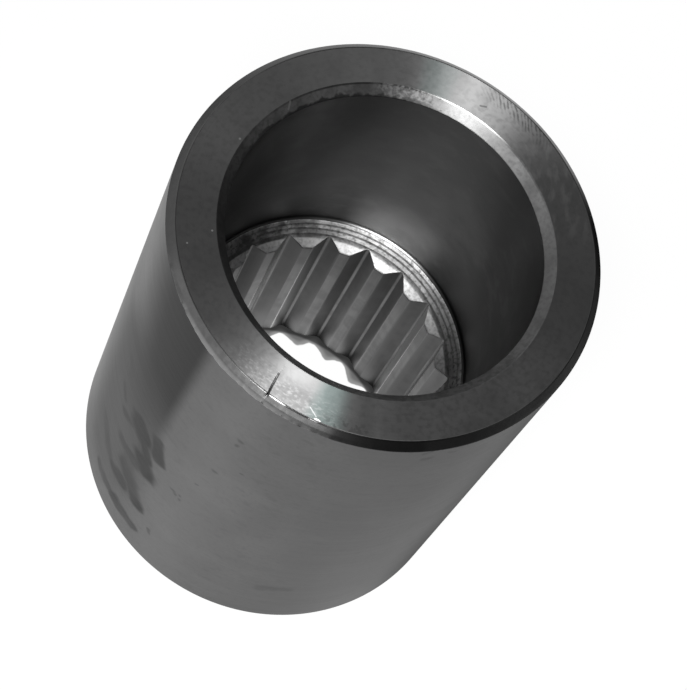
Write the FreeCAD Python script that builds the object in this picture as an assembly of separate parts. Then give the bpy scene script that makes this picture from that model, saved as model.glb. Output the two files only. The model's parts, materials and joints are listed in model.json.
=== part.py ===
import FreeCAD, Part
import math
import os

# A splined coupling sleeve, turned and broached from one bar of steel.
# Its axis is Z. It stands on its plain end, centred on the origin, and its mouth faces up.
# All sizes are in millimetres, and all angles in degrees.

# Turned outside
outer_diameter = 50.0
length = 63.5
mouth_edge_chamfer = 0.9
foot_edge_chamfer = 0.6

# Internal spline with straight flanks
tooth_count = 20
crest_diameter = 30.8
tooth_depth = 1.25
crest_width = 1.35
root_width = 0.3
tooth_chamfer_angle = 45.0
foot_chamfer_beyond_root = 0.15

# Counterbore at the mouth, wider than the spline by a narrow lead-in cone and the tool's corner radius
counterbore_depth = 33.0
counterbore_corner_radius = 0.45
mouth_bore_chamfer = 1.15
lead_in_width = 1.25
lead_in_angle_from_axis = 36.0

# Nick that a knock left across the outer edge of the mouth face
nick_angle = -102.0
nick_length = 2.8
nick_width = 0.4
nick_depth = 0.3

outer_radius = outer_diameter / 2
crest_radius = crest_diameter / 2
root_radius = crest_radius + tooth_depth
shoulder_edge_radius = root_radius + lead_in_width
counterbore_radius = shoulder_edge_radius + counterbore_corner_radius
shoulder_height = length - counterbore_depth
overrun = 1.0
axis = FreeCAD.Vector(0, 0, 1)


def polar(radius, angle, height=0.0):
    """A point at an angle in radians about the axis."""
    return FreeCAD.Vector(radius * math.cos(angle), radius * math.sin(angle), height)


def edges_through(points):
    """Straight edges from each point to the next, and back to the first."""
    following = points[1:] + points[:1]
    return [Part.LineSegment(a, b).toShape() for a, b in zip(points, following)]


def revolve(edges):
    """A solid of revolution about Z from a closed outline in the XZ half plane."""
    return Part.Face(Part.Wire(edges)).revolve(FreeCAD.Vector(0, 0, 0), axis, 360)


def section(*pairs):
    """Points of a half section, given as radius and height."""
    return [FreeCAD.Vector(radius, 0, height) for radius, height in pairs]


def make_blank():
    """The turned bar with an edge chamfer at each end."""
    outline = section(
        (0, 0),
        (outer_radius - foot_edge_chamfer, 0),
        (outer_radius, foot_edge_chamfer),
        (outer_radius, length - mouth_edge_chamfer),
        (outer_radius - mouth_edge_chamfer, length),
        (0, length),
    )
    return revolve(edges_through(outline))


def make_counterbore():
    """The bored mouth, with its chamfer, the tool's corner radius and the lead-in cone."""
    top = length + overrun
    chamfer_top_radius = counterbore_radius + mouth_bore_chamfer + overrun
    cone_slope = math.tan(math.radians(lead_in_angle_from_axis))
    cone_end_radius = crest_radius - overrun
    cone_end_height = shoulder_height - (shoulder_edge_radius - cone_end_radius) / cone_slope
    corner_start = FreeCAD.Vector(counterbore_radius, 0, shoulder_height + counterbore_corner_radius)
    corner_end = FreeCAD.Vector(shoulder_edge_radius, 0, shoulder_height)
    reach = counterbore_corner_radius * math.sqrt(0.5)
    corner_middle = FreeCAD.Vector(
        shoulder_edge_radius + reach, 0, shoulder_height + counterbore_corner_radius - reach
    )
    outline = [
        corner_end,
        *section((cone_end_radius, cone_end_height), (0, cone_end_height), (0, top)),
        *section((chamfer_top_radius, top), (counterbore_radius, length - mouth_bore_chamfer)),
        corner_start,
    ]
    edges = [Part.LineSegment(a, b).toShape() for a, b in zip(outline, outline[1:])]
    edges.append(Part.Arc(corner_start, corner_middle, corner_end).toShape())
    return revolve(edges)


def tooth_space_points():
    """Corners of the spline's outline: each space has a narrow root between two flanks."""
    pitch = 2 * math.pi / tooth_count
    half_root = math.asin(root_width / 2 / root_radius)
    half_crest = math.asin(crest_width / 2 / crest_radius)
    points = []
    for space in range(tooth_count):
        middle = space * pitch
        points.append((crest_radius, middle - pitch / 2 + half_crest))
        points.append((root_radius, middle - half_root))
        points.append((root_radius, middle + half_root))
        points.append((crest_radius, middle + pitch / 2 - half_crest))
    return points


def make_spline_cutter():
    """The broached form: straight flanks, with arcs along the roots and crests."""
    corners = tooth_space_points()
    edges = []
    for (radius_a, angle_a), (radius_b, angle_b) in zip(corners, corners[1:] + corners[:1]):
        start = polar(radius_a, angle_a, -overrun)
        end = polar(radius_b, angle_b, -overrun)
        if radius_a != radius_b:
            edges.append(Part.LineSegment(start, end).toShape())
            continue
        if angle_b < angle_a:
            angle_b += 2 * math.pi
        middle = polar(radius_a, (angle_a + angle_b) / 2, -overrun)
        edges.append(Part.Arc(start, middle, end).toShape())
    profile = Part.Face(Part.Wire(edges))
    return profile.extrude(axis * (length + 2 * overrun))


def make_tooth_chamfers():
    """Cones that chamfer the crests: one below the lead-in cone, one at the foot."""
    lead_slope = math.tan(math.radians(lead_in_angle_from_axis))
    tooth_slope = math.tan(math.radians(tooth_chamfer_angle))
    root_height = shoulder_height - (shoulder_edge_radius - root_radius) / lead_slope
    crest_height = root_height - (root_radius - crest_radius) / tooth_slope
    inner_radius = crest_radius - overrun
    upper = section(
        (0, shoulder_height),
        (root_radius, shoulder_height),
        (root_radius, root_height),
        (crest_radius, crest_height),
        (inner_radius, crest_height - overrun / tooth_slope),
        (0, crest_height - overrun / tooth_slope),
    )
    foot_radius = root_radius + foot_chamfer_beyond_root
    foot_height = (foot_radius - inner_radius) / tooth_slope
    lower = section(
        (0, -overrun),
        (foot_radius + overrun * tooth_slope, -overrun),
        (inner_radius, foot_height),
        (0, foot_height),
    )
    return revolve(edges_through(upper)), revolve(edges_through(lower))


def make_nick():
    """A shallow V across the outer part of the mouth face and its chamfer."""
    inner = outer_radius - mouth_edge_chamfer - nick_length
    outer = outer_radius + overrun
    half = nick_width / 2 * (nick_depth + overrun) / nick_depth
    corners = [
        FreeCAD.Vector(inner, 0, length - nick_depth),
        FreeCAD.Vector(inner, -half, length + overrun),
        FreeCAD.Vector(inner, half, length + overrun),
    ]
    wedge = Part.Face(Part.Wire(edges_through(corners))).extrude(FreeCAD.Vector(outer - inner, 0, 0))
    wedge.rotate(FreeCAD.Vector(0, 0, 0), axis, nick_angle)
    return wedge


def make_sleeve():
    """The finished coupling: one solid."""
    upper_chamfer, lower_chamfer = make_tooth_chamfers()
    sleeve = make_blank().cut(make_counterbore())
    for cutter in (make_spline_cutter(), upper_chamfer, lower_chamfer, make_nick()):
        sleeve = sleeve.cut(cutter)
    return sleeve.removeSplitter()


os.makedirs("parts", exist_ok=True)
coupling_sleeve = make_sleeve()
coupling_sleeve.exportStep("parts/coupling_sleeve.step")
print("solids", len(coupling_sleeve.Solids), "volume in mm3", round(coupling_sleeve.Volume, 1))
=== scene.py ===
from collections import namedtuple
import json
import math

import bpy
import numpy as np
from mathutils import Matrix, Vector


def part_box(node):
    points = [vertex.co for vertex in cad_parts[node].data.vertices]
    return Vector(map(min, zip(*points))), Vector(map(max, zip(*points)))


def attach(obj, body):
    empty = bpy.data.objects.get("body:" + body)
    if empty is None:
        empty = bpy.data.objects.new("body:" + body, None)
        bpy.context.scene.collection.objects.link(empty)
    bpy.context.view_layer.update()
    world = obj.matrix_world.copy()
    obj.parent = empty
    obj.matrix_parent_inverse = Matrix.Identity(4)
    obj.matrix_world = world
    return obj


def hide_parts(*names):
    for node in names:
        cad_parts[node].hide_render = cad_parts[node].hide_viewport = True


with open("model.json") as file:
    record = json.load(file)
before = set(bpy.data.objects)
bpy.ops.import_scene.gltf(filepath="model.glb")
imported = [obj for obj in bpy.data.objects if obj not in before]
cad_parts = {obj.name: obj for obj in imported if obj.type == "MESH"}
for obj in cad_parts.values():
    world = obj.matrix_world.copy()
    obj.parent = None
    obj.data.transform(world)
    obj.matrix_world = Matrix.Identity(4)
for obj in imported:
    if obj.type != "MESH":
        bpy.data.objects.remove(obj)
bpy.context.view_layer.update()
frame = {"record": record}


# Sleeve: one piece of steel, turned on a lathe, bored, and broached from end to end.
# Its surface is built as rings about the axis, from the foot up the outside, across the
# mouth, down the bore and through the spline. Every sharp edge has a small break.
MM = 0.001
high_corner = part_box("coupling_sleeve")[1]
mounts = {mount["name"]: mount for mount in frame["record"]["mounts"]}
outer_radius = min(high_corner.x, high_corner.y) / MM
length = high_corner.z / MM
counterbore_radius = mounts["counterbore"]["dims"]["r_mm"]

mouth_chamfer = 0.9
foot_chamfer = 0.6
bore_chamfer = 1.15
counterbore_depth = 33.0
corner_radius = 0.45
tooth_count = 20
crest_radius = 15.4
tooth_depth = 1.25
crest_width = 1.35
root_width = 0.3
foot_bore_chamfer = 1.4

shoulder_height = length - counterbore_depth
shoulder_radius = counterbore_radius - corner_radius
root_radius = crest_radius + tooth_depth
foot_bore_radius = crest_radius + foot_bore_chamfer
face_inner_radius = counterbore_radius + bore_chamfer
face_outer_radius = outer_radius - mouth_chamfer
pitch = 2 * math.pi / tooth_count

# The boring tool left the lead-in as steps: width and drop of each, from the wall inwards.
LEAD_IN_STEPS = (
    (0.28, 0.28), (0.12, 0.22), (0.26, 0.28), (0.12, 0.26), (0.36, 0.40), (0.11, 0.28),
)
root_height = shoulder_height - sum(drop for _, drop in LEAD_IN_STEPS)


def broken_corners(points, sizes, steps=3):
    """Each inner corner of an open outline becomes a short curve, with a point on either side
    to hold it."""
    points = [np.array(p, float) for p in points]
    sizes = np.broadcast_to(sizes, len(points) - 2)
    out = [points[0]]
    for before, corner, after, size in zip(points, points[1:], points[2:], sizes):
        back, ahead = before - corner, after - corner
        reach = min(size, 0.3 * np.linalg.norm(back), 0.3 * np.linalg.norm(ahead))
        back, ahead = back / np.linalg.norm(back), ahead / np.linalg.norm(ahead)
        out.append(corner + back * reach * 2)
        for t in np.linspace(0, 1, steps + 1):
            out.append(corner + back * reach * (1 - t) ** 2 + ahead * reach * t ** 2)
        out.append(corner + ahead * reach * 2)
    out.append(points[-1])
    return np.array(out)


# Tooth outline over one pitch, from one root's middle to the next: distance round the axis,
# measured at the crests, and radius. The rings have its corners and fill in between.
half_root, half_crest, half_pitch = root_width / 2, crest_width / 2, pitch * crest_radius / 2
tooth_outline = broken_corners(
    [
        (0, root_radius),
        (half_root, root_radius),
        (half_pitch - half_crest, crest_radius),
        (half_pitch + half_crest, crest_radius),
        (2 * half_pitch - half_root, root_radius),
        (2 * half_pitch, root_radius),
    ],
    sizes=(0.1, 0.2, 0.2, 0.1),
)
outline_angles = tooth_outline[:, 0] / crest_radius
fill_angles = np.arange(0, pitch, math.radians(0.9))
pitch_angles = np.unique(np.round(np.concatenate([outline_angles, fill_angles]), 5))
pitch_angles = pitch_angles[pitch_angles < pitch - 1e-3]

# Nick across the outer part of the mouth face, where the rings need a few more points.
# It leans a little: its turn about the axis is given at its inner end and at the face's edge.
# Its last stretch on the face is full depth, and then it runs out on the chamfer.
nick_angle = math.radians(-102.0)
nick_inner_turn = math.radians(-102.5)
nick_outer_turn = math.radians(-101.2)
nick_lean_reach = math.radians(6)
nick_length = 2.8
nick_width = 0.24
nick_depth = 0.22
nick_full_length = 1.3
nick_runs_out = 0.3
nick_inner_radius = face_outer_radius - nick_length
nick_half_angle = nick_width / 2 / outer_radius
nick_steps = nick_half_angle * np.array([-1.6, -1, -0.5, 0, 0.5, 1, 1.6])
nick_angles = (nick_angle + nick_steps) % (2 * math.pi)

angles = np.concatenate([pitch_angles + k * pitch for k in range(tooth_count)])
from_nick_angles = np.abs(angles[:, None] - nick_angles[None, :]).min(axis=1)
angles = angles[from_nick_angles > 0.2 * nick_half_angle]
angles = np.sort(np.concatenate([angles, nick_angles]))
tooth_radii = np.interp(angles % pitch, outline_angles, tooth_outline[:, 1])


def turns_from(middle):
    """How far each point of a ring lies round the axis from one angle, in radians."""
    return np.abs((angles - middle + math.pi) % (2 * math.pi) - math.pi)


nick_cut = nick_depth * np.clip(1 - turns_from(nick_angle) / nick_half_angle, 0, 1)
nick_lean = np.clip(1 - turns_from(nick_angle) / nick_lean_reach, 0, 1)

# The outer chamfer's lower edge is knocked ragged in front on the left: waves round the edge,
# each with its own start, that fade out some degrees from the middle of the knocks.
knock_depth = 0.55
knocked_middle = math.radians(-113)
KNOCKS_FADE = ((0, 22, 36), (1, 0.8, 0.06))
EDGE_WAVES = (11, 19, 31, 47, 73, 97, 131, 163, 211)
wave_starts = np.random.default_rng(4).uniform(0, 2 * math.pi, len(EDGE_WAVES))
ragged = sum(
    np.sin(waves * angles + start) / waves ** 0.2 for waves, start in zip(EDGE_WAVES, wave_starts)
)
ragged = (ragged - ragged.min()) / (ragged.max() - ragged.min())
ragged = ragged * np.interp(np.degrees(turns_from(knocked_middle)), *KNOCKS_FADE)

# Half section of the turned part, from the foot's bore edge round to the top of the lead-in.
turned_corners = [
    (foot_bore_radius - 0.4, 0.4),
    (foot_bore_radius, 0),
    (outer_radius - foot_chamfer, 0),
    (outer_radius, foot_chamfer),
    (outer_radius, length - mouth_chamfer),
    (face_outer_radius, length),
    (face_inner_radius, length),
    (counterbore_radius, length - bore_chamfer),
    (counterbore_radius, shoulder_height + corner_radius),
]
edge_breaks = [0.07, 0.07, 0.07, 0.07, 0.12, 0.07, 0.07]
half_section = broken_corners(turned_corners, edge_breaks)[3:]
corner_arc = [
    (
        shoulder_radius + corner_radius * math.cos(turn),
        shoulder_height + corner_radius - corner_radius * math.sin(turn),
    )
    for turn in np.linspace(0, math.pi / 2, 7)
]
lead_in = [(shoulder_radius, shoulder_height)]
for width, drop in LEAD_IN_STEPS:
    radius, height = lead_in[-1]
    lead_in.append((radius - width, height - drop))
lead_in = broken_corners([corner_arc[-2]] + lead_in, sizes=0.03, steps=2)[1:-1]

# The materials are made further down in the order of this list.
FINISHES = [
    "outside", "face", "outer chamfer", "bore chamfer",
    "counterbore", "lead-in", "crest", "tooth space",
]
on_surface = 0.005
rings = []


def finish_at(radius, height):
    """The finish of the half section at one of its points."""
    on_mouth_face = height > length - on_surface and radius > face_inner_radius
    if height < on_surface or on_mouth_face:
        return "face"
    if radius > outer_radius - on_surface:
        return "outside"
    if radius > face_outer_radius - 2 * on_surface:
        return "outer chamfer"
    return "bore chamfer" if radius > counterbore_radius + on_surface else "counterbore"


def turned_ring(radius, height, finish):
    """One circle of the surface, with the nick and the knocked chamfer edge cut into it."""
    radii = np.full(len(angles), float(radius))
    heights = np.full(len(angles), float(height))
    turns = angles
    if height > length - mouth_chamfer - 1.0 and radius > nick_inner_radius - 0.01:
        from_edge = radius - face_outer_radius
        share = min(1 + from_edge / nick_length, 1)
        turn = nick_inner_turn + (nick_outer_turn - nick_inner_turn) * share
        turns = angles + (turn - nick_angle) * nick_lean
        reaches = (-nick_length, -nick_full_length, 0, 0.4 * nick_runs_out, nick_runs_out)
        heights = heights - nick_cut * np.interp(from_edge, reaches, (0, 1, 1, 0.3, 0))
    if height > length - 2 * mouth_chamfer and radius > outer_radius - 0.2:
        heights = heights - knock_depth * ragged
    rings.append((radii, turns, heights, finish))


# The nick needs a few rings more, on the outer chamfer and round its inner end on the face.
last_radius = foot_bore_radius
for radius, height in half_section:
    finish = finish_at(radius, height)
    if height > length - mouth_chamfer / 2 and last_radius > outer_radius - 0.2:
        for inward in (0.25, 0.4):
            turned_ring(outer_radius - inward, length - mouth_chamfer + inward, "outer chamfer")
    if finish == "face" and height > 1 and radius < nick_inner_radius < last_radius:
        for outward in (1.6, 0.8, 0.03, 0):
            turned_ring(nick_inner_radius + outward, height, "face")
    turned_ring(radius, height, finish)
    last_radius = radius
for radius, height in corner_arc[1:-1]:
    turned_ring(radius, height, "counterbore")
for radius, height in lead_in:
    turned_ring(radius, height, "lead-in")

# Tooth chamfers, flanks and crests: each ring follows the tooth outline. The chamfers at both
# ends are cones at 45 degrees. The upper one's tip would lie on the axis, below its teeth.
cone_tip = root_height - root_radius
cone_top_radius = root_radius + 0.04
tooth_edge_break = 0.05
for share in (0.15, 0.4, 0.7, 0.9, 0.96):
    radii = cone_top_radius + (tooth_radii - cone_top_radius) * share
    rings.append((radii, angles, cone_tip + radii, "lead-in"))
flank_top = cone_tip + tooth_radii - tooth_edge_break
flank_foot = foot_bore_radius - tooth_radii + tooth_edge_break
for share in (0, 0.012, 0.2, 0.4, 0.6, 0.8, 0.988, 1):
    rings.append((tooth_radii, angles, flank_top + (flank_foot - flank_top) * share, "tooth space"))
for share in (0.06, 0.4, 0.8, 0.97):
    radii = tooth_radii + (foot_bore_radius - tooth_radii) * share
    rings.append((radii, angles, foot_bore_radius - radii, "outer chamfer"))

# Four-sided faces join each ring to the next, and the last ring to the first. In the spline the
# flat stretches along the crests and roots have a finish of their own.
on_flat = 0.04
count = len(angles)
vertices = []
faces = []
finish_of_face = []
for radii, turns, heights, _ in rings:
    vertices.extend(zip(radii * np.cos(turns) * MM, radii * np.sin(turns) * MM, heights * MM))
for ring, (_, _, _, ring_finish) in enumerate(rings):
    here, ahead = ring * count, (ring + 1) % len(rings) * count
    for step in range(count):
        beside = (step + 1) % count
        faces.append((here + step, here + beside, ahead + beside, ahead + step))
        finish = ring_finish
        if finish == "tooth space":
            lowest, highest = sorted((tooth_radii[step], tooth_radii[beside]))
            if highest < crest_radius + on_flat or lowest > root_radius - on_flat:
                finish = "crest"
        finish_of_face.append(FINISHES.index(finish))

sleeve_mesh = bpy.data.meshes.new("sleeve")
sleeve_mesh.from_pydata(vertices, [], faces)
sleeve_mesh.validate()
sleeve_mesh.update()
sleeve = bpy.data.objects.new("sleeve", sleeve_mesh)
bpy.context.scene.collection.objects.link(sleeve)
sleeve_mesh.polygons.foreach_set("material_index", finish_of_face)
sleeve_mesh.shade_smooth()


def linear(hex_colour):
    """An sRGB hex colour as the linear values that a shader takes."""
    channels = [int(hex_colour[i:i + 2], 16) / 255 for i in (1, 3, 5)]
    values = [c / 12.92 if c <= 0.04045 else ((c + 0.055) / 1.055) ** 2.4 for c in channels]
    return (*values, 1.0)


def add_node(tree, kind, inputs=None, **settings):
    """Adds a node. An input given a socket is linked to it, and any other value is set on it."""
    node = tree.nodes.new(kind)
    for name, value in settings.items():
        setattr(node, name, value)
    for key, value in (inputs or {}).items():
        if isinstance(value, bpy.types.NodeSocket):
            tree.links.new(value, node.inputs[key])
        else:
            node.inputs[key].default_value = value
    return node


Place = namedtuple("Place", "tree point outward turn radius height")


def lathe_place(tree):
    """Where a point lies about the axis: the point in mm, its direction from the axis, its turn
    in radians, and its radius and height in mm."""
    metres = add_node(tree, "ShaderNodeTexCoord").outputs["Object"]
    point = add_node(
        tree, "ShaderNodeVectorMath", {0: metres, "Scale": 1 / MM}, operation="SCALE"
    ).outputs[0]
    axes = add_node(tree, "ShaderNodeSeparateXYZ", {0: point}).outputs
    turn = add_node(tree, "ShaderNodeMath", {0: axes[1], 1: axes[0]}, operation="ARCTAN2")
    flat = add_node(tree, "ShaderNodeVectorMath", {0: point, 1: (1, 1, 0)}, operation="MULTIPLY")
    outward = add_node(tree, "ShaderNodeVectorMath", {0: flat.outputs[0]}, operation="NORMALIZE")
    radius = add_node(tree, "ShaderNodeVectorMath", {0: flat.outputs[0]}, operation="LENGTH")
    return Place(tree, point, outward.outputs[0], turn.outputs[0], radius.outputs["Value"], axes[2])


def turned_steel(name, roughness, anisotropic):
    """Steel with its tool marks running round the axis: its node tree, shader and place."""
    material = bpy.data.materials.new(name)
    material.use_nodes = True
    tree = material.node_tree
    shader = tree.nodes["Principled BSDF"]
    shader.inputs["Metallic"].default_value = 1.0
    shader.inputs["Roughness"].default_value = roughness
    shader.inputs["Anisotropic"].default_value = anisotropic
    shader.inputs["Anisotropic Rotation"].default_value = 0.25
    tangent = add_node(tree, "ShaderNodeTangent", direction_type="RADIAL", axis="Z")
    tree.links.new(tangent.outputs["Tangent"], shader.inputs["Tangent"])
    sleeve_mesh.materials.append(material)
    return tree, shader, lathe_place(tree)


def product(tree, *parts):
    """The product of some parts. A part is a number, a socket, or a tuple for a smooth fade: a
    socket, its values at the start and the end, and the shares there, if not 0 and 1."""
    factors = []
    for part in parts:
        if isinstance(part, tuple):
            value, start, end, low, high = part if len(part) == 5 else (*part, 0.0, 1.0)
            part = add_node(
                tree, "ShaderNodeMapRange",
                {"Value": value, "From Min": start, "From Max": end, "To Min": low, "To Max": high},
                interpolation_type="SMOOTHSTEP",
            ).outputs["Result"]
        factors.append(part)
    result = factors[0]
    for factor in factors[1:]:
        result = add_node(
            tree, "ShaderNodeMath", {0: result, 1: factor}, operation="MULTIPLY"
        ).outputs[0]
    return result


def strongest(tree, first, *others):
    """The strongest of some shares."""
    for other in others:
        first = add_node(
            tree, "ShaderNodeMath", {0: first, 1: other}, operation="MAXIMUM"
        ).outputs[0]
    return first


def laid_over(tree, under, over, *parts):
    """One colour laid over another, as thickly as the product of some parts. A colour is a hex
    value or a socket."""
    under, over = (linear(c) if isinstance(c, str) else c for c in (under, over))
    return add_node(
        tree, "ShaderNodeMix", {0: product(tree, *parts), 6: under, 7: over}, data_type="RGBA"
    ).outputs[2]


def grains(tree, point, size, detail, output="Fac"):
    """Noise with grains of a real size in mm, given once or along X, Y and Z."""
    per_mm = tuple(1 / np.broadcast_to(size, 3))
    scaled = add_node(tree, "ShaderNodeVectorMath", {0: point, 1: per_mm}, operation="MULTIPLY")
    return add_node(
        tree, "ShaderNodeTexNoise", {"Vector": scaled.outputs[0], "Scale": 1.0, "Detail": detail}
    ).outputs[output]


def ring_streaks(at, line_spacing, streak_turn, detail=3.0):
    """Noise drawn out round the axis: lines some mm apart, each a share of a turn long."""
    spun = add_node(
        at.tree, "ShaderNodeVectorMath", {0: at.outward, "Scale": 1 / streak_turn}, operation="SCALE"
    )
    across = add_node(at.tree, "ShaderNodeMath", {0: at.radius, 1: at.height}, operation="SUBTRACT")
    lines = product(at.tree, across.outputs[0], 1 / line_spacing)
    lift = add_node(at.tree, "ShaderNodeCombineXYZ", {2: lines})
    where = add_node(
        at.tree, "ShaderNodeVectorMath", {0: spun.outputs[0], 1: lift.outputs[0]}, operation="ADD"
    )
    return grains(at.tree, where.outputs[0], 1.0, detail)


# Outside: mild steel turned with a fine feed, then handled. Satin and dark, with faint
# lines round it, wavy smudges, and a broad dark band under the mouth on the left. The band
# is a painted reflection.
tree, shader, at = turned_steel("fine_turned_mild_steel", 0.42, 0.4)
feed_lines = ring_streaks(at, line_spacing=0.35, streak_turn=0.6)
mottle = grains(tree, at.point, 8.33, detail=5.0)
fine_grain = grains(tree, at.point, 0.556, detail=3.0)
colour = laid_over(tree, "#5a5a5a", "#5b5b5b", (feed_lines, 0.3, 0.7))
colour = laid_over(tree, colour, "#656565", (mottle, 0.4, 0.65, 0.0, 0.6))
colour = laid_over(tree, colour, "#4d4d4d", (fine_grain, 0.45, 0.75, 0.0, 0.35))
handling = ring_streaks(at, line_spacing=1.1, streak_turn=0.06, detail=4.0)
colour = laid_over(tree, colour, "#484848", (handling, 0.54, 0.7, 0.0, 0.3))

# Marks on the wall are placed on it as if unrolled, in mm round it and up it, and bent a little.
around = product(tree, at.turn, outer_radius)
unrolled = add_node(tree, "ShaderNodeCombineXYZ", {0: around, 1: at.height}).outputs[0]
wobble = grains(tree, at.point, 3.33, detail=2.5, output="Color")
wobble = add_node(
    tree, "ShaderNodeVectorMath", {0: wobble, 1: (0.5, 0.5, 0.5)}, operation="SUBTRACT"
).outputs[0]
bent = add_node(
    tree, "ShaderNodeVectorMath", {0: wobble, 1: (2.4, 2.6, 0), 2: unrolled},
    operation="MULTIPLY_ADD",
).outputs[0]

# The painted reflection reaches down from the mouth. Its edges lean, and the right one is the
# sharper.
reflection_right, reflection_left = (
    add_node(
        tree, "ShaderNodeMath", {0: at.height, 1: lean, 2: around}, operation="MULTIPLY_ADD"
    ).outputs[0]
    for lean in (-0.04, 0.1)
)
dark_reflection = product(
    tree, (reflection_left, -64.0, -53.5), (reflection_right, -53.2, -55.6), (at.height, 22.0, 46.0)
)
colour = laid_over(tree, colour, "#2c2c2c", dark_reflection, 0.95)


def wall_point(degrees, height):
    """A point of the unrolled wall, from its turn in degrees and its height in mm."""
    return Vector((math.radians(degrees) * outer_radius, height, 0))


def near_stroke(tree, place, start, end, half_width, softness=0.5):
    """1 on a straight stroke between two points, fading to 0 beyond its half width."""
    along = end - start
    from_start = add_node(
        tree, "ShaderNodeVectorMath", {0: place, 1: start}, operation="SUBTRACT"
    ).outputs[0]
    progress = add_node(
        tree, "ShaderNodeVectorMath", {0: from_start, 1: along / along.length_squared},
        operation="DOT_PRODUCT",
    ).outputs["Value"]
    progress = add_node(tree, "ShaderNodeClamp", {"Value": progress, "Min": 0.0, "Max": 1.0})
    on_line = add_node(
        tree, "ShaderNodeVectorMath", {0: along, "Scale": progress.outputs[0]}, operation="SCALE"
    ).outputs[0]
    away = add_node(tree, "ShaderNodeVectorMath", {0: from_start, 1: on_line}, operation="DISTANCE")
    faint, full = half_width * (1 + softness), half_width * (1 - softness)
    return product(tree, (away.outputs["Value"], faint, full))


def near_wall_turn(at, degrees, half_width):
    """1 at one turn of the outside, fading evenly to 0 a half width to both sides, in degrees."""
    beside = add_node(
        at.tree, "ShaderNodeMath", {0: at.turn, 1: math.radians(degrees)}, operation="SUBTRACT"
    ).outputs[0]
    beside = add_node(at.tree, "ShaderNodeMath", {0: beside}, operation="ABSOLUTE").outputs[0]
    return product(at.tree, (beside, math.radians(half_width), 0.0))


# Below the band a soft painted dark reflection reaches further round to the left, thicker at its
# end.
for start, end, half_width, depth in (
    (wall_point(-142, 37), wall_point(-138, 13), 7.2, 0.84),
    (wall_point(-135, 32), wall_point(-129, 26), 3.6, 0.3),
):
    reflected_haze = near_stroke(tree, bent, start, end, half_width)
    colour = laid_over(tree, colour, "#373737", reflected_haze, depth)
# Painted shade darkens it in front on the right, on the left, towards the right edge and low
# down, and a painted highlight lightens it in one place.
colour = laid_over(tree, colour, "#3c3c3c", near_wall_turn(at, -62, 36), 0.55)
shade_left = product(tree, near_wall_turn(at, -152, 23), (at.height, 50.0, 38.0), 0.36)
colour = laid_over(tree, colour, "#3c3c3c", shade_left, 0.3)
colour = laid_over(tree, colour, "#747474", near_wall_turn(at, -106, 16), 0.3)
colour = laid_over(tree, colour, "#343434", near_wall_turn(at, -14, 30), 0.32)
low_right_shade = product(tree, near_wall_turn(at, -18, 32), (at.height, 36.0, 8.0), 0.2)
colour = laid_over(tree, colour, "#303030", low_right_shade)
colour = laid_over(tree, colour, "#464646", near_wall_turn(at, -66, 56), (at.height, 20.0, 2.0), 0.4)

# Each smudge is a stroke: turn in degrees and height in mm at both ends, half its width in mm,
# and its depth.
SMUDGES = (
    (-144.0, 36.5, -140.5, 34.2, 0.9, 0.5),
    (-142.0, 29.8, -140.0, 28.5, 0.8, 0.5),
    (-136.5, 26.4, -132.5, 27.4, 0.9, 0.6),
    (-130.0, 30.0, -126.0, 28.6, 2.0, 1.0),
    (-126.0, 28.2, -121.8, 26.0, 1.1, 1.0),
    (-121.8, 32.5, -118.7, 28.6, 1.2, 0.9),
    (-124.0, 24.0, -121.0, 22.4, 2.0, 1.0),
    (-134.0, 20.7, -127.0, 20.8, 1.2, 0.8),
    (-127.0, 20.8, -122.5, 21.8, 1.4, 0.9),
    (-127.5, 16.8, -124.5, 15.6, 1.9, 0.9),
    (-125.0, 15.8, -119.0, 12.8, 1.45, 1.0),
    (-133.0, 11.8, -127.0, 12.6, 1.2, 0.8),
    (-138.0, 6.2, -128.0, 6.2, 0.95, 0.8),
    (-128.0, 6.2, -117.5, 6.0, 1.15, 1.0),
    (-111.9, 10.0, -111.2, 9.2, 0.35, 0.5),
    (-144.5, 16.0, -136.5, 12.6, 1.2, 0.5),
    (-126.0, 27.0, -126.0, 22.5, 0.8, 0.4),
    (-128.5, 20.5, -127.5, 16.8, 1.2, 0.5),
    (-75.5, 11.1, -66.0, 12.2, 0.9, 0.3),
    (-57.3, 61.7, -55.5, 62.0, 0.25, 0.5),
    (-50.9, 61.4, -48.6, 61.2, 0.25, 0.5),
    (-57.0, 60.1, -55.3, 60.1, 0.3, 0.4),
)
strokes = []
for start_turn, start_height, end_turn, end_height, half_width, depth in SMUDGES:
    start, end = wall_point(start_turn, start_height), wall_point(end_turn, end_height)
    stroke = near_stroke(tree, bent, start, end, half_width, softness=0.4)
    strokes.append(product(tree, stroke, depth))
smudged = product(tree, strongest(tree, *strokes), (mottle, 0.3, 0.6, 0.6, 1.0))
colour = laid_over(tree, colour, "#383838", smudged)
# A few pinhead specks of dirt: turn in degrees, height and half their size in mm.
SPECKS = (
    (-102.0, 51.0, 0.5), (-111.5, 25.8, 0.35), (-110.4, 25.3, 0.4),
    (-109.0, 26.1, 0.3), (-108.0, 25.2, 0.3), (-103.0, 39.0, 0.4),
    (-102.0, 49.3, 0.35), (-106.0, 33.0, 0.3), (-97.0, 43.5, 0.3),
)
for degrees, up, half_size in SPECKS:
    away = add_node(
        tree, "ShaderNodeVectorMath", {0: bent, 1: wall_point(degrees, up)}, operation="DISTANCE"
    ).outputs["Value"]
    colour = laid_over(tree, colour, "#3a3a3a", (away, half_size * 1.5, half_size * 0.4), 0.6)
tree.links.new(colour, shader.inputs["Base Color"])
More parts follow.
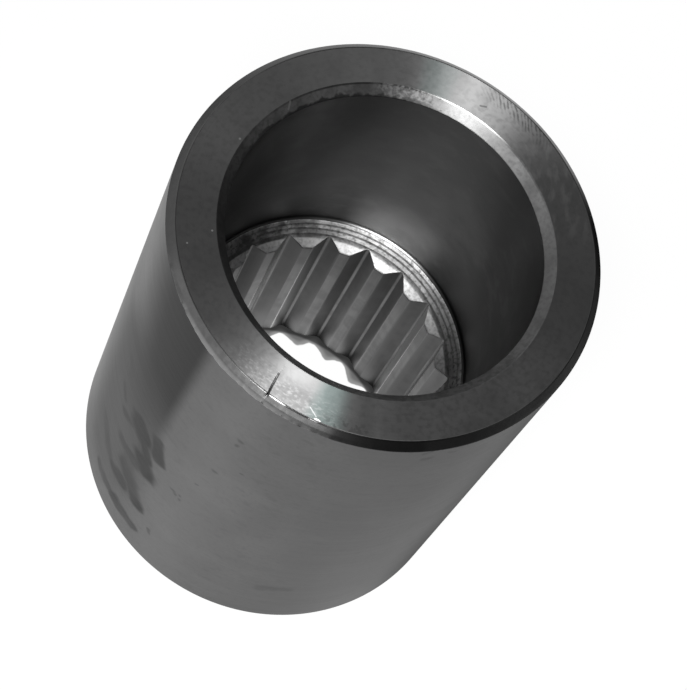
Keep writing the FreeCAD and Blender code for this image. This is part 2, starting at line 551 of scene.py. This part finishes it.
# The smudges and the painted reflection also dull the sheen that bare metal has at a low angle,
# and painted shade dims it on the right, low down and on the left.
sheen = laid_over(tree, "#ffffff", "#e2e2e2", strongest(tree, smudged, dark_reflection))
sheen = laid_over(tree, sheen, "#c2c2c2", near_wall_turn(at, -14, 26))
sheen = laid_over(tree, sheen, "#8c8c8c", low_right_shade)
sheen = laid_over(tree, sheen, "#c0c0c0", shade_left)
tree.links.new(sheen, shader.inputs["Specular Tint"])
rough = product(tree, (feed_lines, 0.25, 0.75, 0.40, 0.43))
tree.links.new(rough, shader.inputs["Roughness"])
lines_bump = add_node(
    tree, "ShaderNodeBump", {"Height": feed_lines, "Strength": 0.03, "Distance": 0.05 * MM}
)
tree.links.new(lines_bump.outputs["Normal"], shader.inputs["Normal"])

# Mouth face and foot face: faced across with a pointed tool. The fine rings spread each
# lamp into two fans, with a faint painted blue tint at their edges and light handling scratches.
tree, shader, at = turned_steel("faced_steel", 0.5, 0.88)
tool_rings = ring_streaks(at, line_spacing=0.16, streak_turn=0.5, detail=2.0)
grain = grains(tree, at.point, 0.667, detail=5.0)
patches = grains(tree, at.point, 3.57, detail=4.0)
colour = laid_over(tree, "#8a8a8a", "#8e8e8e", (tool_rings, 0.3, 0.7))
colour = laid_over(tree, colour, "#646464", (grain, 0.42, 0.72, 0.0, 0.4))
colour = laid_over(tree, colour, "#707070", (patches, 0.45, 0.68, 0.0, 0.4))


def turned_point(degrees, radius, height=0.0):
    """The point at a turn about the axis, at a radius and a height."""
    turn = math.radians(degrees)
    return Vector((radius * math.cos(turn), radius * math.sin(turn), height))


def facing(at, degrees):
    """The cosine of the angle between a point's turn and another one."""
    return add_node(
        at.tree, "ShaderNodeVectorMath", {0: at.outward, 1: turned_point(degrees, 1.0)},
        operation="DOT_PRODUCT",
    ).outputs["Value"]


def near_turn(at, degrees, half_width, there=1.0, elsewhere=0.0):
    """1 at one turn about the axis, fading to 0 a half width away, in degrees."""
    start = math.cos(math.radians(half_width))
    return product(at.tree, (facing(at, degrees), start, 1.0, elsewhere, there))


def patched(at, colour, *patches):
    """A colour with soft patches: each one's turn and half width in degrees, depth and colour."""
    for degrees, half_width, depth, hex_colour in patches:
        colour = laid_over(at.tree, colour, hex_colour, near_turn(at, degrees, half_width), depth)
    return colour


# The right side and the left front have painted shade and the left side behind a painted
# highlight, and a faint blue-green tint lies beside each fan as painted reflection.
colour = patched(
    at, colour,
    (24, 50, 0.72, "#5a5a5a"), (150, 50, 0.22, "#a8a8a8"), (-145, 42, 0.6, "#5c5c5c"),
    (-85, 7, 0.55, "#768885"), (97, 7, 0.3, "#768885"),
)
# Painted highlight: the fan in front is lighter towards the inner edge.
inner_fan = product(tree, near_turn(at, -97, 10), (at.radius, 22.6, 20.0))
colour = laid_over(tree, colour, "#c4c4c4", inner_fan, 0.36)
# Patches of painted shade and painted highlights round the face.
colour = patched(
    at, colour,
    (52, 20, 0.25, "#585858"), (-70, 15, 0.3, "#5c5c5c"), (-77, 6.5, 0.5, "#4a4a4a"),
    (111, 9, 0.4, "#585858"), (90, 9, 0.25, "#b8b8b8"), (126, 24, 0.25, "#b8b8b8"),
)
# Rubbed grain in front, by the outer edge, in short arcs, and a light scratch that ends at the
# edge.
flecks = ring_streaks(at, line_spacing=0.24, streak_turn=0.022, detail=6.0)
rubbed_and_lit = product(tree, near_turn(at, -98, 22), (at.radius, 20.2, 22.6))
colour = laid_over(tree, colour, "#c8c8c8", rubbed_and_lit, (flecks, 0.5, 0.66), 0.26)
colour = laid_over(tree, colour, "#606060", rubbed_and_lit, (flecks, 0.47, 0.32), 0.18)
scratch_start, scratch_end = turned_point(-90, 22.9, length), turned_point(-87.6, 23.6, length)
scratch = near_stroke(tree, at.point, scratch_start, scratch_end, 0.06)
colour = laid_over(tree, colour, "#e8e8e8", scratch, 0.5)
# A burr by the outer edge in front, drawn out along the edge, painted white as its glint.
from_burr = add_node(
    tree, "ShaderNodeVectorMath", {0: at.point, 1: turned_point(-87, 23.9, length)},
    operation="SUBTRACT",
).outputs[0]
from_burr = add_node(
    tree, "ShaderNodeVectorMath", {0: from_burr, 1: (2.4, 7.0, 0)}, operation="MULTIPLY"
).outputs[0]
from_burr = add_node(tree, "ShaderNodeVectorMath", {0: from_burr}, operation="LENGTH")
colour = laid_over(tree, colour, "#ffffff", (from_burr.outputs["Value"], 1.1, 0.7))
# Shallow pits in front on the right, and light pecks: turn in degrees, radius and half their
# size in mm.
pitted = product(tree, near_turn(at, -79, 9), (at.radius, 22.2, 23.2), (grain, 0.52, 0.4))
colour = laid_over(tree, colour, "#484848", pitted, 0.5)
for degrees, out, half_size in ((-153, 20.0, 0.1), (-149, 22.9, 0.09), (172, 19.9, 0.12)):
    away = add_node(
        tree, "ShaderNodeVectorMath", {0: at.point, 1: turned_point(degrees, out, length)},
        operation="DISTANCE",
    ).outputs["Value"]
    colour = laid_over(tree, colour, "#e0e0e0", (away, half_size * 1.6, half_size * 0.5), 0.7)
# A dark peck, and rubbed streaks that lean across the turning marks, both behind. The lean is
# in radians of a mark to each mm of radius.
peck_start, peck_end = turned_point(81.6, 21.1, length), turned_point(80.0, 21.4, length)
peck = near_stroke(tree, at.point, peck_start, peck_end, 0.12)
colour = laid_over(tree, colour, "#383838", peck, 0.6)
marks_per_turn = 230.0
lean_per_mm = 11.0
leaning = add_node(
    tree, "ShaderNodeMath",
    {0: product(tree, at.turn, marks_per_turn), 1: product(tree, at.radius, lean_per_mm)},
    operation="SUBTRACT",
).outputs[0]
streak_place = add_node(
    tree, "ShaderNodeCombineXYZ", {0: product(tree, leaning, 0.06), 1: product(tree, at.radius, 0.8)}
).outputs[0]
streaks = grains(tree, streak_place, 1.0, detail=3.0)
colour = laid_over(tree, colour, "#a8a8a8", near_turn(at, 50, 30), (streaks, 0.45, 0.7), 0.2)
# Chatter of the tool by the outer edge behind: short dashes that wander a little, drawn
# coarser than they are so that they show.
wander = 16.0
uneven = add_node(
    tree, "ShaderNodeMath", {0: patches, 1: wander, 2: leaning}, operation="MULTIPLY_ADD"
).outputs[0]
dashes = add_node(tree, "ShaderNodeMath", {0: uneven}, operation="SINE").outputs[0]
chatter = product(
    tree, (dashes, -0.6, 0.95), near_turn(at, 71, 15),
    (at.radius, 21.8, 23.2), (grain, 0.36, 0.54, 0.2, 1.0),
)
colour = laid_over(tree, colour, "#444444", chatter, 0.66)
# Dirt lies in the nick, and spreads a little towards its outer end.
nick_start = turned_point(math.degrees(nick_inner_turn), nick_inner_radius)
nick_end = turned_point(math.degrees(nick_outer_turn), face_outer_radius)
nick_across = (nick_end - nick_start).normalized().cross(Vector((0, 0, 1)))
from_nick = add_node(
    tree, "ShaderNodeVectorMath", {0: at.point, 1: nick_start}, operation="SUBTRACT"
).outputs[0]
nick_side = add_node(
    tree, "ShaderNodeVectorMath", {0: from_nick, 1: nick_across}, operation="DOT_PRODUCT"
).outputs["Value"]
nick_side = add_node(tree, "ShaderNodeMath", {0: nick_side}, operation="ABSOLUTE").outputs[0]
dirt_reach = product(
    tree, (at.radius, nick_inner_radius - 0.1, nick_inner_radius + 2.2, -0.02, 0.06)
)
inside_dirt = add_node(
    tree, "ShaderNodeMath", {0: dirt_reach, 1: nick_side}, operation="SUBTRACT"
).outputs[0]
colour = laid_over(tree, colour, "#161616", (inside_dirt, 0.0, 0.05), near_turn(at, -102, 30), 0.9)
tree.links.new(colour, shader.inputs["Base Color"])
rings_bump = add_node(
    tree, "ShaderNodeBump", {"Height": tool_rings, "Strength": 0.03, "Distance": 0.04 * MM}
).outputs["Normal"]
grain_bump = add_node(
    tree, "ShaderNodeBump",
    {"Height": grain, "Strength": 0.05, "Distance": 0.08 * MM, "Normal": rings_bump},
)
tree.links.new(grain_bump.outputs["Normal"], shader.inputs["Normal"])

# Outer chamfer: a quick form cut that left the edge smooth but darker than the face. It has
# been handled most, so it is knocked in front, with painted shade and highlights round it.
tree, shader, at = turned_steel("chamfered_steel", 0.26, 0.4)
grain = grains(tree, at.point, 0.625, detail=4.0)
colour = laid_over(tree, "#727272", "#7a7a7a", (grain, 0.35, 0.7))
colour = patched(at, colour, (-56, 30, 0.75, "#2c2c2c"))
colour = laid_over(tree, colour, "#343434", (near_turn(at, -70, 14.5), 0.02, 0.4), 0.6)
colour = patched(
    at, colour,
    (21, 34, 0.8, "#343434"), (166, 36, 0.4, "#484848"), (98, 30, 0.3, "#c8c8c8"),
    (138, 26, 0.25, "#b4b4b4"), (54, 22, 0.85, "#484848"), (-95, 9, 0.4, "#484848"),
    (-14, 28, 0.5, "#3c3c3c"),
)
# Its knocked part has painted highlights where the metal was pushed over, and painted shade beneath.
colour = laid_over(tree, colour, "#a0a0a0", near_turn(at, -106, 28), (grain, 0.42, 0.6), 0.12)
colour = patched(at, colour, (-147, 38, 0.65, "#4a4a4a"))
pushed_over_glint = (at.radius, outer_radius - 0.36, outer_radius - 0.14)
colour = laid_over(tree, colour, "#acacac", near_turn(at, -112, 26), pushed_over_glint, 0.6)
# The break towards the face has painted shade, except beside the nick and in places, where it
# shines.
on_break = (at.radius, face_outer_radius + 0.16, face_outer_radius + 0.06)
shining = strongest(
    tree,
    near_turn(at, -98.3, 2.9),
    product(tree, near_turn(at, -109.8, 2.6), 0.3),
    product(tree, near_turn(at, -88.0, 1.8), 0.5),
)
break_shade = add_node(tree, "ShaderNodeMath", {0: 1.0, 1: shining}, operation="SUBTRACT").outputs[0]
colour = laid_over(tree, colour, "#2c2c2c", on_break, break_shade, near_turn(at, -80, 44), 0.9)
colour = laid_over(tree, colour, "#0c0c0c", on_break, break_shade, near_turn(at, -91.5, 9), 0.97)
# Dirt from the nick runs out onto it.
under_nick = (at.radius, face_outer_radius + 0.4, face_outer_radius + 0.15)
colour = laid_over(tree, colour, "#202020", near_turn(at, -101.3, 1.0), under_nick, 0.6)
tree.links.new(colour, shader.inputs["Base Color"])
# Painted shade: its sheen at a low angle is dimmed on the left and on the right.
sheen = patched(
    at, "#ffffff", (170, 34, 1.0, "#cccccc"), (-12, 36, 1.0, "#808080"), (27, 26, 1.0, "#8c8c8c")
)
tree.links.new(sheen, shader.inputs["Specular Tint"])

# Chamfer of the bore: finer cut than the outer one and hardly handled, so it shines where it
# faces the lamp. Painted shade darkens it on the right, in front on the left and behind.
tree, shader, at = turned_steel("bright_chamfered_steel", 0.4, 0.5)
grain = grains(tree, at.point, 0.5, detail=4.0)
patches = grains(tree, at.point, 2.86, detail=4.0)
colour = laid_over(tree, "#8a8a8a", "#757575", (grain, 0.4, 0.7))
colour = laid_over(tree, colour, "#606060", (patches, 0.42, 0.66, 0.0, 0.6))
colour = patched(
    at, colour,
    (20, 45, 0.5, "#5c5c5c"), (-150, 48, 0.75, "#343434"),
    (115, 14, 0.45, "#484848"), (85, 28, 0.68, "#5a5a5a"),
)
# Towards the face its edge has a painted highlight behind, and painted shade on both sides
# of that.
rim = (at.radius, face_inner_radius - 0.17, face_inner_radius - 0.07)
colour = laid_over(tree, colour, "#c0c0c0", rim, near_turn(at, 83, 21), 0.55)
rim_ends = product(
    tree, (at.radius, face_inner_radius - 0.2, face_inner_radius - 0.1),
    near_turn(at, 100, 76), near_turn(at, 82, 20, there=0.0, elsewhere=1.0),
)
colour = laid_over(tree, colour, "#303030", rim_ends, 0.8)
# Light scuffs and dark pits where the bright part begins.
scuffs = grains(tree, at.point, 0.4167, detail=4.0)
colour = laid_over(tree, colour, "#bcbcbc", near_turn(at, 107, 13), (scuffs, 0.42, 0.62), 0.32)
colour = laid_over(tree, colour, "#404040", near_turn(at, 96, 20), (scuffs, 0.41, 0.33), 0.6)
# Towards the bore its edge is ragged on the left, and one light peck lies further round.
drag_length = 1.2
drags = grains(tree, at.point, 1.11, detail=4.0)
past_drags = add_node(
    tree, "ShaderNodeMath", {0: drags, 1: -drag_length, 2: at.radius}, operation="MULTIPLY_ADD"
).outputs[0]
ragged_edge = (past_drags, counterbore_radius - 0.26, counterbore_radius - 0.52)
colour = laid_over(tree, colour, "#242424", ragged_edge, near_turn(at, 134, 58), 0.75)
cone_tip = length - face_inner_radius
peck_start = turned_point(150.2, 18.9, cone_tip + 18.9)
peck_end = turned_point(148.8, 19.4, cone_tip + 19.4)
peck = near_stroke(tree, at.point, peck_start, peck_end, 0.12)
colour = laid_over(tree, colour, "#b8b8b8", peck, 0.6)
tree.links.new(colour, shader.inputs["Base Color"])

# Counterbore wall: bored smooth, with faint rings round it and smears of oil, and dark because
# it only sees itself.
tree, shader, at = turned_steel("bored_steel", 0.36, 0.5)
bore_rings = ring_streaks(at, line_spacing=0.4, streak_turn=0.5)
clouds = grains(tree, at.point, 10.0, detail=4.0)
smears = ring_streaks(at, line_spacing=2.2, streak_turn=0.16, detail=4.0)
colour = laid_over(tree, "#3c3c3c", "#404040", (bore_rings, 0.3, 0.7))
colour = laid_over(tree, colour, "#5a5a5a", (clouds, 0.42, 0.66, 0.0, 0.5))
colour = laid_over(tree, colour, "#606060", (smears, 0.5, 0.68, 0.0, 0.4))
colour = laid_over(tree, colour, "#2e2e2e", (smears, 0.45, 0.3, 0.0, 0.4))
# Painted light: the wall is lighter higher up behind.
higher_up = (at.height, 31.0, 46.0, 0.25, 0.55)
colour = laid_over(tree, colour, "#686868", near_turn(at, 98, 66), higher_up)
# A painted highlight where the wall runs down to the shoulder, at the back.
rubbed_and_lit = product(
    tree, near_turn(at, 84, 23), (at.height, 42.0, 31.5), (clouds, 0.3, 0.55, 0.4, 1.0)
)
colour = laid_over(tree, colour, "#a0a0a0", rubbed_and_lit, 0.9)
# Painted shade low down on the right and on the left behind, and painted light higher up on the
# right.
low_down = (at.height, 46.0, 34.0)
colour = laid_over(tree, colour, "#2a2a2a", near_turn(at, 42, 28), low_down, 0.9)
colour = laid_over(tree, colour, "#606060", near_turn(at, 42, 22), (at.height, 44.0, 56.0), 0.5)
colour = laid_over(tree, colour, "#2a2a2a", near_turn(at, 132, 18), low_down, 0.5)
# Both sides have painted shade, the left one down to the shoulder, and their sheen is dimmed with
# it.
right_shade = product(tree, near_turn(at, 3, 35), (at.height, 47.0, 56.0))
side_shade = strongest(tree, near_turn(at, 168, 34), right_shade)
colour = laid_over(tree, colour, "#262626", side_shade, 0.6)
tree.links.new(colour, shader.inputs["Base Color"])
sheen = laid_over(tree, "#ffffff", "#dadada", side_shade, 0.8)
tree.links.new(sheen, shader.inputs["Specular Tint"])

# Lead-in above the teeth: cut in coarse steps by the boring tool, bright and grainy, with the
# chamfered tops of the teeth below it.
tree, shader, at = turned_steel("rough_bored_steel", 0.55, 0.1)
step_rings = ring_streaks(at, line_spacing=0.22, streak_turn=0.15)
specks = grains(tree, at.point, 0.4545, detail=5.0)
colour = laid_over(tree, "#a2a2a2", "#c0c0c0", (step_rings, 0.35, 0.65))
colour = laid_over(tree, colour, "#666666", (specks, 0.45, 0.66, 0.0, 0.75))
# It is darker in blotches on its left and darker on its right, with a darker strip along its inner
# edge.
blotches = (grains(tree, at.point, 1.43, detail=3.0), 0.35, 0.6, 0.25, 0.85)
colour = laid_over(tree, colour, "#565656", near_turn(at, 140, 50), blotches)
colour = patched(at, colour, (38, 24, 0.5, "#5a5a5a"))
colour = laid_over(tree, colour, "#707070", (at.radius, root_radius + 0.2, root_radius + 0.05), 0.4)
# The tooth chamfers are painted brighter, as light on their upward faces, with painted shade in one
# place.
chamfer_colour = laid_over(tree, "#d8d8d8", "#b4b4b4", (specks, 0.4, 0.7))
chamfer_colour = patched(at, chamfer_colour, (117, 14, 0.3, "#6c6c6c"))
on_teeth = (at.radius, root_radius - 0.18, root_radius - 0.35)
colour = laid_over(tree, colour, chamfer_colour, on_teeth)
tree.links.new(colour, shader.inputs["Base Color"])
speck_bump = add_node(
    tree, "ShaderNodeBump", {"Height": specks, "Strength": 0.3, "Distance": 0.1 * MM}
)
tree.links.new(speck_bump.outputs["Normal"], shader.inputs["Normal"])

# Tooth crests: what is left of the bored hole between the broached spaces, a lighter grey with
# faint marks of the pull along it. The narrow flats along the roots look the same.
tree, shader, at = turned_steel("bored_crest_steel", 0.4, 0.0)
pull_lines = grains(tree, at.point, (0.385, 0.385, 16.7), detail=3.0)
mottle = grains(tree, at.point, 2.0, detail=3.0)
colour = laid_over(tree, "#6a6a6a", "#727272", (pull_lines, 0.35, 0.65))
colour = laid_over(tree, colour, "#585858", (mottle, 0.4, 0.65, 0.0, 0.6))
colour = laid_over(tree, colour, "#808080", (at.height, 9.0, 2.0, 0.0, 0.5))
colour = laid_over(tree, colour, "#2c2c2c", (at.height, 19.0, 25.5, 0.0, 0.4))
# Painted shade darkens the crests on the left.
left_shade = product(tree, near_turn(at, 162, 34), (at.height, 10.0, 26.0, 0.15, 0.75))
colour = laid_over(tree, colour, "#343434", left_shade)
tree.links.new(colour, shader.inputs["Base Color"])

# Tooth spaces: broached, so their marks run along the axis, and smooth and dark, with painted
# shade on some flanks and painted highlights on others.
tree, shader, at = turned_steel("broached_steel", 0.36, 0.0)
pull_lines = grains(tree, at.point, (0.3125, 0.3125, 20.0), detail=3.0)
mottle = grains(tree, at.point, 2.0, detail=3.0)
colour = laid_over(tree, "#555555", "#5b5b5b", (pull_lines, 0.35, 0.65))
colour = laid_over(tree, colour, "#666666", (mottle, 0.4, 0.65, 0.0, 0.5))
colour = laid_over(tree, colour, "#6c6c6c", (at.radius, root_radius - 0.45, crest_radius, 0.0, 0.8))
colour = laid_over(tree, colour, "#8a8a8a", (at.height, 8.0, 1.0, 0.0, 0.6))
# Each space has a flank on its right and one on its left. Some right flanks have painted
# shade, and some flanks of both kinds painted highlights.
flank_side = add_node(
    tree, "ShaderNodeMath", {0: product(tree, at.turn, float(tooth_count))}, operation="SINE"
).outputs[0]
right_flank, left_flank = (flank_side, 0.2, -0.5), (flank_side, -0.2, 0.5)
shaded_flanks = product(tree, right_flank, near_turn(at, 114, 34), (at.height, 3.0, 20.0, 0.3, 1.0))
colour = laid_over(tree, colour, "#1e1e1e", shaded_flanks, 0.7)
lit_flanks = product(tree, left_flank, near_turn(at, 130, 24), (at.height, 26.0, 20.0, 0.4, 1.0))
colour = laid_over(tree, colour, "#e8e8e8", lit_flanks, 0.9)
colour = laid_over(tree, colour, "#d8d8d8", right_flank, near_turn(at, 46, 22), 0.7)
# The spaces on the left have painted shade, and their sheen is dimmed with it.
left_shade = product(tree, near_turn(at, 162, 36), (at.height, 4.0, 18.0, 0.35, 0.85))
colour = laid_over(tree, colour, "#1e1e1e", left_shade)
tree.links.new(colour, shader.inputs["Base Color"])
tree.links.new(laid_over(tree, "#ffffff", "#b0b0b0", left_shade), shader.inputs["Specular Tint"])

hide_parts("coupling_sleeve")
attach(sleeve, "root")


# Floor: a wide pale sheet under the sleeve. It keeps a soft share of the sleeve's shadow,
# and what is left is plain white to the eye and in the metal.
floor_reach = 4.0
floor_drop = 0.02 * MM
floor_mesh = bpy.data.meshes.new("floor")
floor_corners = [
    (x * floor_reach, y * floor_reach, -floor_drop) for x, y in ((-1, -1), (1, -1), (1, 1), (-1, 1))
]
floor_mesh.from_pydata(floor_corners, [], [(0, 1, 2, 3)])
floor = bpy.data.objects.new("floor", floor_mesh)
bpy.context.scene.collection.objects.link(floor)
white_board = bpy.data.materials.new("white_board")
white_board.use_nodes = True
board = white_board.node_tree
matt_white = board.nodes["Principled BSDF"]
matt_white.inputs["Base Color"].default_value = linear("#f4f4f4")
matt_white.inputs["Roughness"].default_value = 0.9
matt_white.inputs["Specular IOR Level"].default_value = 0.0
at = lathe_place(board)
# The glow is white to the eye. To the metal it is white near the sleeve and dim further off,
# more so on the right. Far off behind on the left it is dimmer too, which gives the round wall
# some shade from all sides.
back_dimming = product(board, (facing(at, 135.2), 0.3, 0.95, 0.0, 0.5), (at.radius, 60.0, 120.0))
back_level = add_node(
    board, "ShaderNodeMath", {0: 1.0, 1: back_dimming}, operation="SUBTRACT"
).outputs[0]
metal_level = product(
    board, (at.radius, 220.0, 60.0, 0.75, 1.0), (facing(at, 17.2), 0.35, 0.95, 1.0, 0.64), back_level
)
ray = add_node(board, "ShaderNodeLightPath")
glow_level = add_node(
    board, "ShaderNodeMix", {0: ray.outputs["Is Glossy Ray"], 2: 1.0, 3: metal_level},
    data_type="FLOAT",
).outputs[0]
# Under the foot's inner chamfer the floor is dark, with a grey shadow that follows the teeth.
in_hole = product(board, (at.radius, 22.0, 20.0))
teeth = add_node(
    board, "ShaderNodeMath", {0: product(board, at.turn, float(tooth_count))}, operation="COSINE"
).outputs[0]
blur = grains(board, at.point, 2.0, detail=2.0)
tooth_edge = add_node(
    board, "ShaderNodeMath", {0: teeth, 1: -0.6, 2: at.radius}, operation="MULTIPLY_ADD"
).outputs[0]
tooth_edge = add_node(
    board, "ShaderNodeMath", {0: blur, 1: 0.8, 2: tooth_edge}, operation="MULTIPLY_ADD"
).outputs[0]
hole_shade = product(
    board, (tooth_edge, 15.2, 15.45, 1.0, 0.3), (tooth_edge, 15.4, 16.3, 1.0, 0.5),
    (at.radius, 15.45, 15.9, 1.0, 0.26),
)
shade = add_node(
    board, "ShaderNodeMix", {0: in_hole, 2: 1.0, 3: hole_shade}, data_type="FLOAT"
).outputs[0]
glow = add_node(
    board, "ShaderNodeEmission",
    {"Color": linear("#ffffff"), "Strength": product(board, glow_level, shade)},
)
# The soft shadow only lies near the sleeve.
seen = strongest(
    board, ray.outputs["Is Camera Ray"], ray.outputs["Is Glossy Ray"],
    ray.outputs["Is Transmission Ray"],
)
shadow_free = strongest(board, in_hole, product(board, (at.radius, 40.0, 80.0)))
glow_share = product(board, seen, (shadow_free, 0.0, 1.0, 0.9, 1.0))
surface = add_node(
    board, "ShaderNodeMixShader", {0: glow_share, 1: matt_white.outputs[0], 2: glow.outputs[0]}
)
board.links.new(surface.outputs[0], board.nodes["Material Output"].inputs["Surface"])
floor_mesh.materials.append(white_board)


# Studio: a round soft box in front and above, in a dim room with a pale wall in front on the
# left, so that the turned faces show bright fans and the right side stays dark.
def direction(azimuth, elevation):
    """The unit vector towards an azimuth and an elevation in degrees."""
    rise = math.radians(elevation)
    return turned_point(azimuth, math.cos(rise), math.sin(rise))


towards_box = direction(-97, 52)
box_distance = 0.8
sleeve_middle = Vector((0, 0, 0.04))
front_box_lamp = bpy.data.lights.new("front_box", "AREA")
front_box_lamp.shape = "DISK"
front_box_lamp.size = 0.25
front_box_lamp.energy = 9.0
front_box = bpy.data.objects.new("front_box", front_box_lamp)
bpy.context.scene.collection.objects.link(front_box)
front_box.location = sleeve_middle + towards_box * box_distance
front_box.rotation_euler = towards_box.to_track_quat("Z", "Y").to_euler()

room = bpy.data.worlds.new("room")
bpy.context.scene.world = room
room.use_nodes = True
sky = room.node_tree
gaze = add_node(sky, "ShaderNodeTexCoord").outputs["Generated"]
gaze = add_node(sky, "ShaderNodeVectorMath", {0: gaze}, operation="NORMALIZE").outputs[0]
upward = add_node(sky, "ShaderNodeSeparateXYZ", {0: gaze}).outputs[2]
brightness = product(sky, (upward, 0.15, 0.85, 0.04, 0.225))
# Soft patches of light: azimuth and elevation in degrees, where each fades out and is full,
# in degrees from its middle, and its level.
GLOWS = (
    (-125, 16, 45, 35, 0.62),
    (170, 6, 62, 15, 0.6),
    (-15, 4, 45, 15, 0.08),
    (75, 2, 60, 15, 0.15),
)
for azimuth, elevation, fades, full, level in GLOWS:
    towards_glow = add_node(
        sky, "ShaderNodeVectorMath", {0: gaze, 1: direction(azimuth, elevation)},
        operation="DOT_PRODUCT",
    ).outputs["Value"]
    start, end = math.cos(math.radians(fades)), math.cos(math.radians(full))
    patch = product(sky, (towards_glow, start, end, 0.0, level))
    brightness = add_node(
        sky, "ShaderNodeMath", {0: brightness, 1: patch}, operation="ADD"
    ).outputs[0]
sky.links.new(brightness, sky.nodes["Background"].inputs["Strength"])
sky.nodes["Background"].inputs["Color"].default_value = linear("#ffffff")


# Camera: above and in front, rolled so that the sleeve leans, as the photograph has it.
camera_place = Vector((-11.65, -128.72, 291.05)) * MM
camera_aim = Vector((1.644, -2.686, 40.0)) * MM
camera_roll = math.radians(31.69)
camera_data = bpy.data.cameras.new("camera")
camera_data.lens = 123.05
camera_data.sensor_width = 36.0
camera_data.clip_start = 0.01
camera = bpy.data.objects.new("camera", camera_data)
bpy.context.scene.collection.objects.link(camera)
camera.location = camera_place
camera.rotation_euler = (camera_aim - camera_place).to_track_quat("-Z", "Y").to_euler()
camera.rotation_euler.rotate_axis("Z", camera_roll)
bpy.context.scene.camera = camera

bpy.context.scene.view_settings.view_transform = "Standard"
